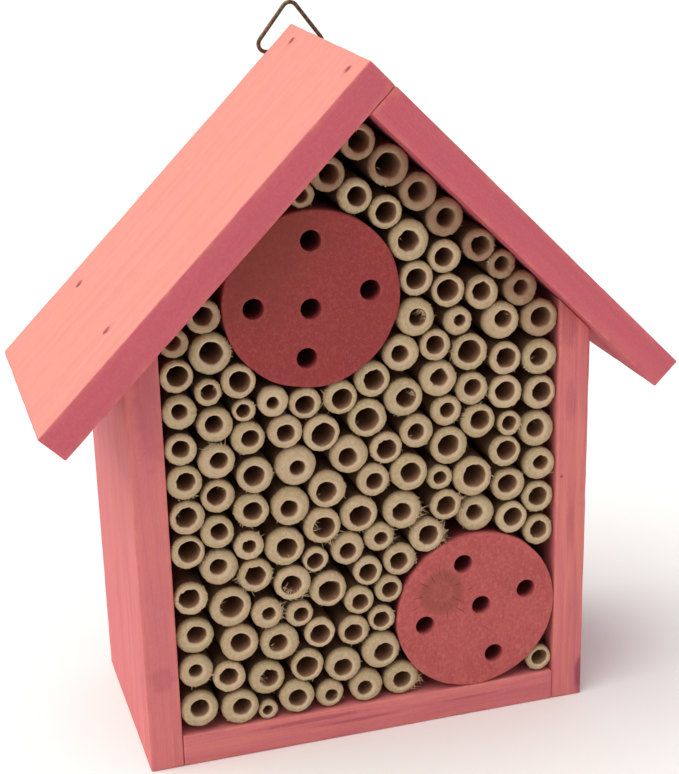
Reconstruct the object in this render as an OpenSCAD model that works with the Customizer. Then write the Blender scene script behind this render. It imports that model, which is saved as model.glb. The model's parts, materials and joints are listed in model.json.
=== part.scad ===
// Insect hotel: a small stained timber house, open at the front, filled with
// cut reed tubes and two drilled log slices, with a folding wire hanger behind the ridge.
// Millimetres. The origin is the centre of the base, the open front faces -Y, up is +Z.

/* [House] */
// Width over the two side walls
house_w = 138; // [137:0.5:142]
// Depth of the side walls, front to back
house_d = 72; // [60:1:100]
// Height of the ridge above the ground
ridge_h = 205; // [204:0.5:210]
// Thickness of the wall, floor and roof boards
board_t = 10; // [9:0.5:10]
// How far the roof stands out in front of the walls
roof_overhang = 8; // [2:1:20]
// Length of the left roof board along its slope
roof_len = 132.7; // [126:0.1:150]
// Thickness of the back panel
back_t = 8; // [7:0.5:12]

/* [Log slices] */
// Diameter of both log slices
log_d = 51; // [49:0.5:51]
// Distance from the inner ridge, down the slope, to the upper slice's contact point
log_down = 47.4; // [47:0.1:49]
// Diameter of the drilled nesting holes
hole_d = 6; // [5:0.5:8]
// Depth of the drilled nesting holes
hole_depth = 50; // [20:1:55]
// Radius of the ring of four outer holes
hole_ring_r = 16.8; // [14:0.1:18]

/* [Reed tubes] */
// Furthest that a tube's cut end may stand back from the front of the walls
tube_recess = 1.2; // [0:0.1:4]
// Gap left between neighbours in the bundle
tube_gap = 0.06; // [0.02:0.01:0.3]

/* [Brads] */
// Diameter of a brad's shank
brad_d = 1.4; // [1:0.1:1.8]
// Diameter of a brad's head
brad_head_d = 2.4; // [2:0.1:3]
// Length of a brad
brad_len = 25; // [18:1:30]
// Depth of a brad's head below the surface
brad_sink = 0.5; // [0.2:0.1:1.5]
// Distance of the front brads from the front of the board they hold
brad_front = 9.5; // [6:0.5:20]
// Distance of the rear brads from the back of the house
brad_back = 13; // [10:0.5:25]

/* [Hanger] */
// Thickness of the hanger's wire
wire_d = 1.3; // [1:0.1:1.6]
// Height of the wire triangle, measured to its sharp corners
ring_h = 16.1; // [14:0.1:18]
// Width of the wire triangle's base, measured to its sharp corners
ring_w = 25; // [23:0.5:28]
// Bend radius of the wire, at its middle
bend_r = 2.4; // [2:0.1:3]
// Height of the hinge bar below the ridge
bar_drop = 8.5; // [8:0.1:10]
// Forward lean of the wire as it rests against the roof
ring_lean = 3; // [0:0.5:4]
// Width of the folded strap
strap_w = 10; // [8:0.5:12]
// Thickness of the strap's sheet
strap_t = 0.7; // [0.5:0.1:0.8]
// Distance from the hinge bar down to the screw
screw_drop = 11; // [10.5:0.5:13]

/* [Hidden] */

$fn = 48;
pitch = 45;
front_y = -house_d / 2;
back_y = house_d / 2;
inner_w = house_w - 2 * board_t;
roof_d = house_d + roof_overhang;
// Height of the corner where the undersides of the two roof boards meet
inner_ridge_h = ridge_h - board_t / cos(pitch);
cavity_d = house_d - back_t;
// Extra length that carries a cut clear of the surface it opens
cut = 1;

stain = [0.80, 0.42, 0.47];
stain_light = [0.95, 0.60, 0.58];
stain_log = [0.68, 0.30, 0.32];
reed = [0.76, 0.67, 0.52];
steel = [0.45, 0.38, 0.36];
bronze = [0.42, 0.34, 0.25];

// ---- boards ----

// Places its children on a roof slope: X runs down the slope, Z out of its outer face
module on_slope(side) {
    translate([0, 0, ridge_h])
        rotate([0, side < 0 ? 180 - pitch : pitch, 0])
            mirror([0, 0, side < 0 ? 1 : 0])
                children();
}

// A roof board from start to roof_len down the slope of one side
module roof_board(side, start) {
    on_slope(side)
        translate([start, front_y - roof_overhang, -board_t])
            cube([roof_len - start, roof_d, board_t]);
}

module roof_left() {
    color(stain_light) difference() {
        roof_board(-1, 0);
        ridge_brads_cut();
        eave_brads_cut(-1);
    }
}

module roof_right() {
    color(stain) difference() {
        roof_board(1, board_t);
        ridge_brads_cut();
        eave_brads_cut(1);
    }
}

// A side wall whose top follows the underside of the roof
module wall(side) {
    outer_x = side * house_w / 2;
    inner_x = side * inner_w / 2;
    translate([0, back_y, 0]) rotate([90, 0, 0]) linear_extrude(house_d)
        polygon([
            [outer_x, 0], [inner_x, 0],
            [inner_x, inner_ridge_h - inner_w / 2 * tan(pitch)],
            [outer_x, inner_ridge_h - house_w / 2 * tan(pitch)]
        ]);
}

module wall_left() {
    color(stain) difference() {
        wall(-1);
        eave_brads_cut(-1);
        floor_pins_solid();
    }
}

module wall_right() {
    color(stain) difference() {
        wall(1);
        eave_brads_cut(1);
        floor_pins_solid();
    }
}

module floor_board() {
    color(stain) difference() {
        translate([-inner_w / 2, front_y, 0]) cube([inner_w, house_d, board_t]);
        floor_pins_solid();
    }
}

module back_panel() {
    eave_h = inner_ridge_h - inner_w / 2 * tan(pitch);
    color(stain) difference() {
        translate([0, back_y, 0]) rotate([90, 0, 0]) linear_extrude(back_t)
            polygon([
                [-inner_w / 2, board_t], [inner_w / 2, board_t], [inner_w / 2, eave_h],
                [0, inner_ridge_h], [-inner_w / 2, eave_h]
            ]);
        screw_shank();
    }
}

// ---- log slices ----

log_r = log_d / 2;
// Middle of the upper slice, which hangs against the left roof board
log_upper_at = [
    -log_down * cos(pitch) + log_r * sin(pitch) + tube_gap,
    inner_ridge_h - log_down * sin(pitch) - log_r * cos(pitch) - tube_gap
];
// Middle of the lower slice, which lies in the corner of the floor and the right wall
log_lower_at = [inner_w / 2 - log_r - tube_gap, board_t + log_r + tube_gap];
// Directions of the four outer holes of each slice, and the offset of its middle hole
upper_hole_turns = [4, 90, 183, 263];
upper_hole_mid = [-0.5, -2.5];
lower_hole_turns = [16, 105, 188, 290];
lower_hole_mid = [1.5, 1.5];

module log_slice(at, turns, mid) {
    translate([at[0], front_y + cavity_d, at[1]]) rotate([90, 0, 0]) difference() {
        cylinder(d = log_d, h = cavity_d, $fn = 96);
        translate([0, 0, cavity_d - hole_depth]) {
            translate(mid) cylinder(d = hole_d, h = hole_depth + cut);
            for (turn = turns)
                rotate(turn) translate([hole_ring_r, 0]) cylinder(d = hole_d, h = hole_depth + cut);
        }
    }
}

module log_upper() {
    color(stain_log) log_slice(log_upper_at, upper_hole_turns, upper_hole_mid);
}

module log_lower() {
    color(stain_log) log_slice(log_lower_at, lower_hole_turns, lower_hole_mid);
}

// ---- reed tubes ----

// The bundle as it is filled by hand, in columns from the left wall, each from the bottom up.
// A tube is [place across, place up, outer diameter, bore]; the places are rough, and the
// bundle is settled below until no tube bites into its neighbours.
tube_columns = [
    [[-54, 17, 12, 5.5], [-54, 29, 11, 4], [-54, 41, 11.5, 5.5], [-54, 53.5, 12, 6],
     [-54, 67, 10.5, 6.5], [-54, 78.5, 11, 6], [-54, 89.5, 10.5, 5.5], [-54.5, 99.5, 9.5, 5],
     [-54, 110.5, 11, 4.5], [-54, 121.5, 10, 6], [-54.5, 130.5, 8.5, 4.5]],
    [[-41.5, 16.5, 12.5, 5.5], [-43.5, 27, 10.5, 5.5], [-40.5, 37, 12.5, 6], [-43, 49, 13.5, 7],
     [-45, 61, 12, 5], [-45.5, 73, 10.5, 5], [-44.5, 83.5, 10.5, 5.5], [-44.5, 94.5, 11, 5],
     [-45, 105, 11, 5], [-45.5, 115, 8, 4.5], [-43.5, 125.5, 12.5, 6.5], [-45.5, 136, 10, 5.5]],
    [[-33, 13.5, 6.5, 3], [-33, 24, 11.5, 5.5], [-28.5, 35, 12.5, 5.5], [-32.5, 45.5, 10, 4],
     [-34.5, 57.5, 11.5, 6], [-36.5, 68, 10, 4], [-35.5, 78.5, 11.5, 5.5], [-33.5, 89, 12, 6],
     [-35.5, 100, 11, 5], [-36, 109, 7.5, 4], [-36.5, 117.5, 10.5, 6]],
    [[-24.5, 16, 12, 5.5], [-20.5, 26.5, 11.5, 6.5], [-21.5, 43.5, 9.5, 4.5], [-24.5, 53, 12.5, 6],
     [-26, 65.5, 12.5, 6], [-24.5, 77.5, 12, 5], [-21.5, 89, 12.5, 4.5], [-24.5, 100.5, 10.5, 5],
     [-26.5, 110, 9.5, 3.5]],
    [[-13, 15, 9.5, 4], [-9, 25, 12, 5.5], [-16, 36.5, 10.5, 6], [-12.5, 49, 12, 6.5],
     [-17, 60.5, 9, 5], [-15.5, 71, 12, 6.5], [-12.5, 82, 12, 6], [-13, 98, 11.5, 7],
     [-17, 107.5, 10, 5.5]],
    [[-2.5, 16, 11, 4.5], [3, 27, 12.5, 6], [-5.5, 36, 11, 5.5], [-3.5, 45.5, 9.5, 5],
     [-1, 54.5, 9.5, 5.5], [-7.5, 61.5, 11, 5], [-4, 72.5, 12, 6.5], [-5, 90, 12, 5.5],
     [-7, 108, 10.5, 6]],
    [[9.5, 16, 11.5, 5.5], [3.5, 38.5, 9.5, 5], [5.5, 47.5, 9.5, 5], [9.5, 56.5, 11, 5.5],
     [2, 63.5, 9.5, 4], [9.5, 71, 12, 5.5], [2.5, 82, 10.5, 5], [5.5, 91.5, 10.5, 6],
     [2, 102, 12, 7], [2.5, 112.5, 11, 6]],
    [[17.5, 62.5, 11.5, 6], [22.5, 71, 10.5, 6], [12.5, 84.5, 12, 6], [21, 80, 8.5, 4],
     [15, 96, 11, 5], [12, 107, 12, 6], [10, 120, 11, 5], [15.5, 131, 11.5, 5], [15.5, 142, 11, 6]],
    [[33, 67.5, 12, 5], [32.5, 80, 13, 7], [24.5, 89.5, 12, 6.5], [24, 101, 10, 4.5],
     [21, 111.5, 11.5, 5], [20.5, 122, 9.5, 5.5], [28, 128, 9.5, 3.5], [26, 138, 10.5, 6.5]],
    [[44, 65, 11, 6], [44, 76, 11.5, 6], [42, 86.5, 11, 6], [44, 95.5, 8.5, 4.5],
     [33.5, 96, 11, 6], [31.5, 107, 10.5, 5], [30.5, 118, 12, 7], [42, 104.5, 11.5, 6],
     [41.5, 114.5, 11, 6], [42, 125, 12, 5], [36, 135, 10.5, 5.5]],
    [[54.5, 15, 8.5, 5], [53.5, 59, 10, 5.5], [53.5, 70, 11, 6], [53.5, 81, 10.5, 4.5],
     [52.5, 92, 12, 5.5], [53.5, 103, 11, 6], [53, 114.5, 11.5, 5.5], [53, 126.5, 11.5, 6],
     [48, 136, 11, 4.5], [40.5, 144.5, 9, 4.5]],
    [[13.5, 154.5, 12, 6], [24, 148, 10.5, 5.5], [34.5, 150.5, 10, 5.5], [25, 158.5, 12, 5.5],
     [17, 166.5, 11.5, 5.5], [7, 163.5, 10, 6], [8.5, 174.5, 12, 7], [-2.5, 168, 10.5, 5.5],
     [-0.5, 181.5, 10.5, 6], [-10, 174, 10.5, 5.5], [-17.5, 167.5, 7.5, 4]]
];
tubes = [for (column = tube_columns) each column];
// Number of the first tube of column c in the whole bundle
function first_tube(c) = c == 0 ? 0 : first_tube(c - 1) + len(tube_columns[c - 1]);

// What hems the bundle in: each board as [point on its face, direction into the house]
faces = [
    [[-inner_w / 2, 0], [1, 0]],
    [[inner_w / 2, 0], [-1, 0]],
    [[0, board_t], [0, 1]],
    [[0, inner_ridge_h], [sin(pitch), -cos(pitch)]],
    [[0, inner_ridge_h], [-sin(pitch), -cos(pitch)]]
];
log_places = [log_upper_at, log_lower_at];

// Neighbours near enough to touch tube i while the bundle settles
reach = 3;
near = [for (i = [0:len(tubes) - 1]) [
    for (j = [0:len(tubes) - 1])
        if (i != j && norm([tubes[i][0] - tubes[j][0], tubes[i][1] - tubes[j][1]])
            < (tubes[i][2] + tubes[j][2]) / 2 + reach) j
]];

// The way from q to p, as long as the bite of two round things whose radii add up to r
function bite(p, q, r) = let (away = p - q) away / norm(away) * max(0, r - norm(away));
function total(v, i = 0) = i == len(v) ? [0, 0] : v[i] + total(v, i + 1);
// One pass: a tube backs out of boards and logs in full, and out of other tubes by half
function pushed(i, at) = let (p = at[i], r = tubes[i][2] / 2) p
    + total([for (face = faces) face[1] * max(0, r - (p - face[0]) * face[1])])
    + total([for (log_at = log_places) bite(p, log_at, r + log_r)])
    + total([for (j = near[i]) bite(p, at[j], r + tubes[j][2] / 2)]) / 2;
function settled(at, passes) =
    passes == 0 ? at : settled([for (i = [0:len(at) - 1]) pushed(i, at)], passes - 1);
tube_places = settled([for (tube = tubes) [tube[0], tube[1]]], 24);

// Radius that tube i has room for where it has settled
function tube_r(i) = let (p = tube_places[i], r = tubes[i][2] / 2) min(concat(
    [r],
    [for (face = faces) (p - face[0]) * face[1]],
    [for (log_at = log_places) norm(p - log_at) - log_r],
    [for (j = near[i]) r * norm(p - tube_places[j]) / (r + tubes[j][2] / 2)]
)) - tube_gap / 2;
recesses = rands(0, tube_recess, len(tubes), 7);

module tube(i) {
    length = cavity_d - recesses[i];
    translate([tube_places[i][0], front_y + cavity_d, tube_places[i][1]]) rotate([90, 0, 0])
        difference() {
            cylinder(r = tube_r(i), h = length);
            translate([0, 0, -cut]) cylinder(d = tubes[i][3], h = length + 2 * cut);
        }
}

module tube_column(c) {
    color(reed) for (k = [0:len(tube_columns[c]) - 1]) tube(first_tube(c) + k);
}

// ---- brads ----

brad_head_h = 0.8;

// A brad driven along -Z from the surface at Z = 0
module brad() {
    translate([0, 0, -brad_sink - brad_len]) cylinder(d = brad_d, h = brad_len, $fn = 24);
    translate([0, 0, -brad_sink - brad_head_h]) cylinder(d = brad_head_d, h = brad_head_h, $fn = 24);
}

// The hole that a brad leaves: its own shape, and the pit over its head
module brad_hole() {
    brad();
    translate([0, 0, -brad_sink - brad_head_h / 2])
        cylinder(d = brad_head_d, h = brad_sink + brad_head_h / 2 + cut, $fn = 24);
}

// Places its children, facing out, at the two brads of the ridge joint
module at_ridge_brads() {
    for (y = [front_y - roof_overhang + brad_front, back_y - brad_back])
        on_slope(-1) translate([board_t / 2, y, 0]) children();
}

// Distance down the slope to the middle of a wall's top end
wall_down = (house_w + inner_w) / 4 / cos(pitch) + board_t * tan(pitch);

// Turn of an eave brad from the slope's normal, which keeps it inside the upright wall
eave_turn = 20;

// Places its children at the two brads over one side wall, turned to drive into the wall
module at_eave_brads(side) {
    for (y = [front_y + brad_front, back_y - brad_back])
        on_slope(side) translate([wall_down, y, 0]) rotate([0, -eave_turn, 0]) children();
}

module ridge_brads_cut() {
    at_ridge_brads() brad_hole();
}

module eave_brads_cut(side) {
    at_eave_brads(side) brad_hole();
}

module ridge_brads() {
    color(steel) at_ridge_brads() brad();
}

module eave_brads_left() {
    color(steel) at_eave_brads(-1) brad();
}

module eave_brads_right() {
    color(steel) at_eave_brads(1) brad();
}

// Headless pins that join the floor's ends to the walls, set in and filled over
pin_cover = 2;
pin_len = 22;

module floor_pins_solid() {
    for (side = [-1, 1], y = [front_y + brad_front, back_y - brad_back])
        translate([side * (house_w / 2 - pin_cover), y, board_t / 2])
            rotate([0, -side * 90, 0]) cylinder(d = brad_d, h = pin_len, $fn = 24);
}

module floor_pins() {
    color(steel) floor_pins_solid();
}

// ---- hanger ----

hinge_gap = 0.08;
bar_bore_r = wire_d / 2 + hinge_gap;
curl_r = bar_bore_r + strap_t;
bar_y = back_y + curl_r;
bar_z = ridge_h - bar_drop;
screw_d = 3;
screw_hole_d = 3.4;
screw_head_d = 5.6;
screw_head_h = 1.9;
screw_grip = 6.5;
strap_tail = 5.5;
screw_z = bar_z - screw_drop;

// Slope of the outer leaf where it comes off the curl, and how far that stretch runs down
fold_turn = 30;
fold_len = (curl_r + bar_bore_r * cos(fold_turn) - strap_t) / sin(fold_turn);
// Skin by which that stretch is thinner than the sheet, so that it blends into the curl
fold_skin = 0.03;

// The strap's edge: two leaves, folded over the bar. X is up, Y is out of the back.
module strap_profile() {
    leaf_len = screw_drop + strap_tail;
    translate([-leaf_len, 0]) square([leaf_len, strap_t]);
    translate([-leaf_len, strap_t / 2])
        square([leaf_len - fold_len * cos(fold_turn), strap_t * 1.5]);
    translate([0, curl_r]) {
        circle(r = curl_r);
        rotate(fold_turn) translate([-fold_len, bar_bore_r + fold_skin])
            square([fold_len + strap_t / 2, strap_t - 2 * fold_skin]);
    }
}

module hanger_strap() {
    color(bronze) difference() {
        translate([strap_w / 2, back_y, bar_z]) rotate([0, -90, 0]) linear_extrude(strap_w)
            difference() {
                strap_profile();
                translate([0, curl_r]) circle(r = bar_bore_r);
            }
        translate([0, back_y - cut, screw_z]) rotate([-90, 0, 0])
            cylinder(d = screw_hole_d, h = 2 * strap_t + 2 * cut);
    }
}

// The part of the screw that is in the panel and the strap
module screw_shank() {
    translate([0, back_y + 2 * strap_t, screw_z]) rotate([90, 0, 0])
        cylinder(d = screw_d, h = 2 * strap_t + screw_grip);
}

module hanger_screw() {
    cross_w = 0.9;
    cross_l = 3.2;
    cross_h = 1.2;
    color(bronze) {
        screw_shank();
        translate([0, back_y + 2 * strap_t, screw_z]) rotate([-90, 0, 0]) difference() {
            intersection() {
                cylinder(d = screw_head_d, h = screw_head_h);
                translate([0, 0, screw_head_h - screw_head_d]) sphere(r = screw_head_d);
            }
            for (turn = [0, 90])
                rotate(turn) translate([-cross_l / 2, -cross_w / 2, screw_head_h - cross_h])
                    cube([cross_l, cross_w, cross_h + cut]);
        }
    }
}

// Slope of the triangle's legs, and the share of the bend that each corner takes from them
leg_turn = atan2(ring_h, ring_w / 2);
base_trim = bend_r / tan(leg_turn / 2);
top_trim = bend_r * tan(leg_turn);
leg_len = norm([ring_h, ring_w / 2]) - base_trim - top_trim;

// The wire's butted ends, hidden in the fold, are this far apart
ends_gap = 0.4;
half_bar = ring_w / 2 - base_trim;
// The straight lengths are this much thinner, and run this far into the bends
wire_ease = 0.02;
wire_lap = 0.15;

// A straight length along X, from start to end
module wire(start, end) {
    translate([start, 0, 0]) rotate([0, 90, 0])
        cylinder(d = wire_d - wire_ease, h = end - start, $fn = 24);
}

// A bend about the origin, from one direction to another
module wire_bend(from, to) {
    rotate(from) rotate_extrude(angle = to - from)
        translate([bend_r, 0]) circle(d = wire_d, $fn = 24);
}

// The wire triangle in its own plane: the bar lies on X, the top corner is on +Y
module ring_flat() {
    translate([0, ring_h - bend_r / cos(leg_turn), 0])
        wire_bend(90 - leg_turn, 90 + leg_turn);
    for (side = [0, 1]) mirror([side, 0, 0]) {
        wire(ends_gap / 2, half_bar + wire_lap);
        translate([half_bar, bend_r, 0]) wire_bend(-90, 90 - leg_turn);
        translate([ring_w / 2, 0, 0]) rotate(180 - leg_turn)
            wire(base_trim - wire_lap, base_trim + leg_len + wire_lap);
    }
}

module hanger_ring() {
    color(bronze) translate([0, bar_y, bar_z]) rotate([90 + ring_lean, 0, 0]) ring_flat();
}

roof_left();
roof_right();
wall_left();
wall_right();
floor_board();
back_panel();
log_upper();
log_lower();
tube_column(0);  // tube_column_01
tube_column(1);  // tube_column_02
tube_column(2);  // tube_column_03
tube_column(3);  // tube_column_04
tube_column(4);  // tube_column_05
tube_column(5);  // tube_column_06
tube_column(6);  // tube_column_07
tube_column(7);  // tube_column_08
tube_column(8);  // tube_column_09
tube_column(9);  // tube_column_10
tube_column(10);  // tube_column_11
tube_column(11);  // tube_column_12
ridge_brads();
eave_brads_left();
eave_brads_right();
floor_pins();
hanger_strap();
hanger_screw();
hanger_ring();
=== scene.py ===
"""Insect hotel: a stained timber house filled with reed tubes and two drilled log slices."""

import json
import math

import bmesh
import bpy
import numpy as np
from mathutils import Matrix, Vector, geometry, noise


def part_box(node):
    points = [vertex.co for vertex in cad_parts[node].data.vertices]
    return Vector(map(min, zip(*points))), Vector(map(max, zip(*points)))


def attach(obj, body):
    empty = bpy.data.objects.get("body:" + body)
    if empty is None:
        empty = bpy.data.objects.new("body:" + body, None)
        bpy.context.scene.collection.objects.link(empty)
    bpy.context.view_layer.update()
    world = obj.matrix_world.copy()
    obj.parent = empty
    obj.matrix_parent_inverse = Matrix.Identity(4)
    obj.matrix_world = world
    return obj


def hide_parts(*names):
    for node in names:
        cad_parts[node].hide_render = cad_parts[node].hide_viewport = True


bl_info = {
    "name": "Insect Hotel",
    "version": (1, 0, 0),
    "blender": (4, 5, 0),
    "location": "3D View > Sidebar > Insect Hotel",
    "description": "Dresses the packed insect hotel in stained timber, cut reed and bronzed wire",
    "category": "Object",
}

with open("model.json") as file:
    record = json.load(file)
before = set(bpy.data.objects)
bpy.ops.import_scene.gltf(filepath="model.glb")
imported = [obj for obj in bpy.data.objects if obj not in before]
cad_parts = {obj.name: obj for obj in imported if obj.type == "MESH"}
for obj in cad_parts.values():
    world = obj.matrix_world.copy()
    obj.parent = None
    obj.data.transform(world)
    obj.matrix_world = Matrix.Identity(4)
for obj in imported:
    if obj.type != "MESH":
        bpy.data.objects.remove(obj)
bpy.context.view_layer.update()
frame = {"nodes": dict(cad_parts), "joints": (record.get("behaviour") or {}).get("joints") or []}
HOUSE = "house"
MM = 0.001
SHARP_FROM = math.radians(42)


# ---- sizes and colours that a user would change ----


def colour(label, words, value):
    """A colour property with its default."""
    return bpy.props.FloatVectorProperty(
        name=label, description=words, subtype="COLOR", size=3, min=0, max=1, default=value
    )


def length(label, words, value):
    """A length property in metres."""
    return bpy.props.FloatProperty(
        name=label, description=words, subtype="DISTANCE", unit="LENGTH", min=0, default=value,
        precision=5,
    )


def share(label, words, value):
    """A plain factor from nothing to all."""
    return bpy.props.FloatProperty(
        name=label, description=words, subtype="FACTOR", min=0, max=1, default=value
    )


def angle(label, words, value):
    """An angle property with its default in degrees."""
    return bpy.props.FloatProperty(
        name=label, description=words, subtype="ANGLE", unit="ROTATION", default=math.radians(value)
    )


def amount(label, words, value):
    """A plain number from nothing up."""
    return bpy.props.FloatProperty(name=label, description=words, min=0, default=value)


class BoardSettings(bpy.types.PropertyGroup):
    """The stained boards of the house and its roof."""

    stain: colour("Stain", "Rose stain where it lies evenly", (0.69, 0.190, 0.195))
    roof_stain: colour("Roof stain", "Fresher stain of the roof boards", (0.585, 0.106, 0.146))
    stain_deep: colour("Deep stain", "Stain where the wood drank more of it", (0.46, 0.085, 0.145))
    stain_thin: colour("Thin stain", "Wood that shows through thin stain", (0.80, 0.27, 0.185))
    faded: colour("Faded stain", "Stain bleached by the sun on top of the left roof", (0.735, 0.295, 0.24))
    half_faded: colour("Half faded stain", "Top of the right roof, less bleached", (0.71, 0.225, 0.215))
    arris: length("Arris", "Rounding of the boards' long edges", 0.55 * MM)
    relief: length("Relief", "Height of the unevenness left by planing", 0.10 * MM)
    wear: length("Edge wear", "Deepest dent in an edge", 0.2 * MM)


class LogSettings(bpy.types.PropertyGroup):
    """The two drilled log slices."""

    upper: colour("Upper stain", "Rose stain on the upper slice", (0.305, 0.041, 0.038))
    lower: colour("Lower stain", "Rose stain on the lower slice", (0.53, 0.108, 0.104))
    deep: colour("Deep stain", "Stain in the late wood and the saw marks", (0.25, 0.035, 0.045))
    pale: colour("Pale fibres", "Fibres that took less stain", (0.62, 0.19, 0.17))
    shade: colour("Brown shade", "Weathered brown of the upper slice", (0.21, 0.052, 0.030))
    pith: colour("Pith", "Brown wood round the lower slice's pith", (0.27, 0.075, 0.045))
    # Painted shade: darkens the drilled holes and the slice's side with depth behind the sawn face
    inside: colour("Inside", "Dark stain in the drilled holes", (0.13, 0.020, 0.024))
    crack_w: length("Crack width", "Width of a drying crack at the surface", 0.17 * MM)
    crack_d: length("Crack depth", "Depth of a drying crack", 0.6 * MM)
    arris: length("Arris", "Rounding of a slice's outer edge", 0.5 * MM)


class ReedSettings(bpy.types.PropertyGroup):
    """The cut reed tubes and their frayed fibres."""

    straw: colour("Straw", "Cut face of a reed", (0.50, 0.36, 0.215))
    pale: colour("Pale rim", "Hard pale rim of the bore", (0.65, 0.50, 0.325))
    olive: colour("Olive", "Face of the greener reeds", (0.45, 0.35, 0.19))
    bore: colour("Bore", "Brown lining of the bore", (0.33, 0.175, 0.10))
    # Painted shade: the outside of a tube is coloured dark so the gaps between tubes look shaded
    skin: colour("Skin", "Dark outside of a reed, behind its rim", (0.11, 0.06, 0.033))
    crest: share("Crest", "Where the cut end stands highest, as a share of the wall from the bore", 0.32)
    dome: share("Dome", "How far the cut end falls away to the outside, as a share of the wall", 0.55)
    lip: share("Lip", "How far the cut end falls away to the bore, as a share of the wall", 0.30)
    ovality: share("Ovality", "How far a tube is out of round", 0.07)
    bore_ovality: share("Bore ovality", "How far a bore is out of round", 0.26)
    fibre_d: length("Fibre thickness", "Thickness of a frayed fibre at its root", 0.13 * MM)


class HangerSettings(bpy.types.PropertyGroup):
    """The wire triangle with its folded strap and screw."""

    bronze: colour("Bronze", "Dark antique plating", (0.085, 0.06, 0.04))
    worn: colour("Worn bronze", "Plating rubbed bright", (0.42, 0.29, 0.16))
    bend: length("Bend radius", "Bend of the wire at its middle line", 2.4 * MM)
    arris: length("Sheet arris", "Rounding of the strap's stamped edges", 0.12 * MM)


class StageSettings(bpy.types.PropertyGroup):
    """The floor, the lights and the camera."""

    turn: angle("Turn", "How far the camera looks to the right of straight ahead", 18.93)
    tilt: angle("Tilt", "How far the camera looks down", 20.57)
    roll: angle("Roll", "Lean of the camera about its own line of sight", -0.46)
    place: bpy.props.FloatVectorProperty(
        name="Place", description="Where the camera stands", subtype="TRANSLATION", unit="LENGTH",
        size=3, default=(-0.1334, -0.4707, 0.2718),
    )
    lens: amount("Lens", "Focal length in millimetres", 78.9)
    floor: colour("Floor", "Plain pale floor", (0.92, 0.92, 0.92))
    sky: amount("Sky", "Brightness of the studio all round", 0.5)
    sun: amount("Sun", "Brightness of the soft light above", 2.7)


SETTINGS = {
    "hotel_boards": BoardSettings,
    "hotel_logs": LogSettings,
    "hotel_reeds": ReedSettings,
    "hotel_hanger": HangerSettings,
    "hotel_stage": StageSettings,
}


# ---- short calls for wiring nodes ----


class Value:
    """A node's output: + - * and / between values and numbers wire Math nodes."""

    def __init__(self, socket):
        self.socket = socket

    def __add__(self, other):
        return calc("ADD", self, other)

    def __sub__(self, other):
        return calc("SUBTRACT", self, other)

    def __rsub__(self, other):
        return calc("SUBTRACT", other, self)

    def __mul__(self, other):
        return calc("MULTIPLY", self, other)

    def __truediv__(self, other):
        return calc("DIVIDE", self, other)


def tree_of(values):
    """The node tree that the first wired value among these stands in."""
    return next(value.socket.id_data for value in values if isinstance(value, Value))


def feed(socket, value):
    """Sets a socket to a plain value, or links a wired one to it."""
    if isinstance(value, Value):
        socket.id_data.links.new(value.socket, socket)
    else:
        socket.default_value = value


def add(tree, kind, inputs=None, result=0, **settings):
    """Adds a node with its own settings, feeds the inputs given by name or number, gives a result."""
    made = tree.nodes.new(kind)
    for key, value in settings.items():
        setattr(made, key, value)
    for key, value in (inputs or {}).items():
        feed(made.inputs[key], value)
    return Value(made.outputs[result])


def calc(operation, *values):
    """A Math node's result."""
    return add(tree_of(values), "ShaderNodeMath", dict(enumerate(values)), operation=operation)


def vector_calc(operation, *values, **scale):
    """A Vector Math node's vector, or its number for a length; SCALE takes its Scale by name."""
    result = "Value" if operation == "LENGTH" else "Vector"
    inputs = {**dict(enumerate(values)), **scale}
    return add(tree_of(values), "ShaderNodeVectorMath", inputs, result, operation=operation)


def combine(x, y, z):
    """A vector from three numbers."""
    return add(tree_of((x, y, z)), "ShaderNodeCombineXYZ", {0: x, 1: y, 2: z})


def split(vector):
    """The three numbers of a vector."""
    made = add(tree_of([vector]), "ShaderNodeSeparateXYZ", {0: vector})
    return [Value(socket) for socket in made.socket.node.outputs]


def ramp(value, low, high, out_low=0.0, out_high=1.0, smooth=True):
    """A number carried from one range to another and held there."""
    return add(
        tree_of([value]), "ShaderNodeMapRange", {0: value, 1: low, 2: high, 3: out_low, 4: out_high},
        interpolation_type="SMOOTHSTEP" if smooth else "LINEAR",
    )


def lump(vector, scale, detail=2.0, rough=0.5, w=None):
    """A noise number about 0.5 at a point; w picks one of many patterns."""
    inputs = {"Vector": vector, "Scale": scale, "Detail": detail, "Roughness": rough}
    if w is None:
        return add(tree_of([vector]), "ShaderNodeTexNoise", inputs)
    return add(tree_of([vector]), "ShaderNodeTexNoise", {**inputs, "W": w}, noise_dimensions="4D")


def layered(tone, *layers):
    """A colour under layers given as (share, colour); a plain colour has three numbers."""
    for share_over, colour_over in layers:
        under, over = (
            part if isinstance(part, Value) else (*part, 1) for part in (tone, colour_over)
        )
        tone = add(
            tree_of([share_over]), "ShaderNodeMix", {0: share_over, 6: under, 7: over}, 2,
            data_type="RGBA",
        )
    return tone


def new_group(name, kind, inputs, outputs):
    """A node group, its inputs as values and its output sockets; inputs are (name, type, default)."""
    tree = bpy.data.node_groups.new(name, kind)
    for label, sort, default in inputs:
        made = tree.interface.new_socket(label, in_out="INPUT", socket_type=f"NodeSocket{sort}")
        if default is not None:
            made.default_value = default
    for label, sort in outputs:
        tree.interface.new_socket(label, in_out="OUTPUT", socket_type=f"NodeSocket{sort}")
    given = {socket.name: Value(socket) for socket in tree.nodes.new("NodeGroupInput").outputs}
    return tree, given, tree.nodes.new("NodeGroupOutput").inputs


# ---- shared shader effects ----


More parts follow.
